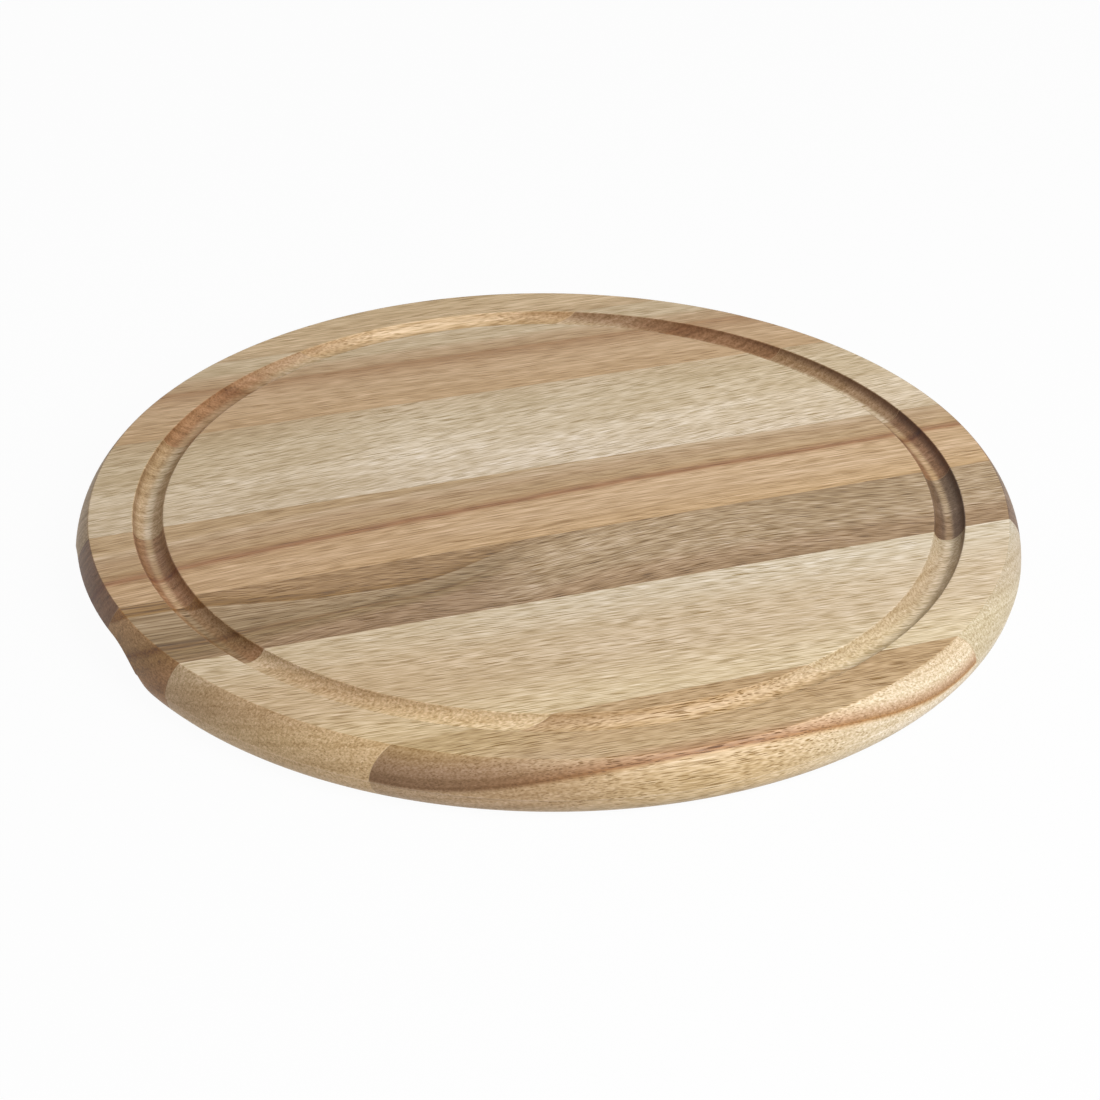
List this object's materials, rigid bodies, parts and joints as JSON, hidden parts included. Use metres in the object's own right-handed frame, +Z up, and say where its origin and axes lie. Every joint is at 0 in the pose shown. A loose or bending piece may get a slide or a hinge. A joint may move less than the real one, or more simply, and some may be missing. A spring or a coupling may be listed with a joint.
{
  "type": "round serving board",
  "caption": "Round wooden serving board of edge-glued staves, with a juice groove inside the rim, rounded edges and finger grips scooped under its two ends.",
  "frame": {"origin": "centre of the underside, on the surface that the board lies on", "axes": "+X along the grain towards the right-hand finger grip, +Y across the grain towards the back stave, +Z up"},
  "size_m": [0.3982, 0.4, 0.025],
  "materials": {
    "stave_1_wood": "oiled, satin",
    "stave_2_wood": "oiled, satin",
    "stave_3_wood": "oiled, satin",
    "stave_4_wood": "oiled, satin",
    "stave_5_wood": "oiled, satin",
    "stave_6_wood": "oiled, satin",
    "stave_7_wood": "oiled, satin",
    "glue": "cured, flush with the wood"
  },
  "bodies": {
    "root": {"stave_1": "stave_1_wood", "stave_2": "stave_2_wood", "stave_3": "stave_3_wood", "stave_4": "stave_4_wood", "stave_5": "stave_5_wood", "stave_6": "stave_6_wood", "stave_7": "stave_7_wood", "glue_line_1": "glue", "glue_line_2": "glue", "glue_line_3": "glue", "glue_line_4": "glue", "glue_line_5": "glue", "glue_line_6": "glue"}
  },
  "joints": []
}
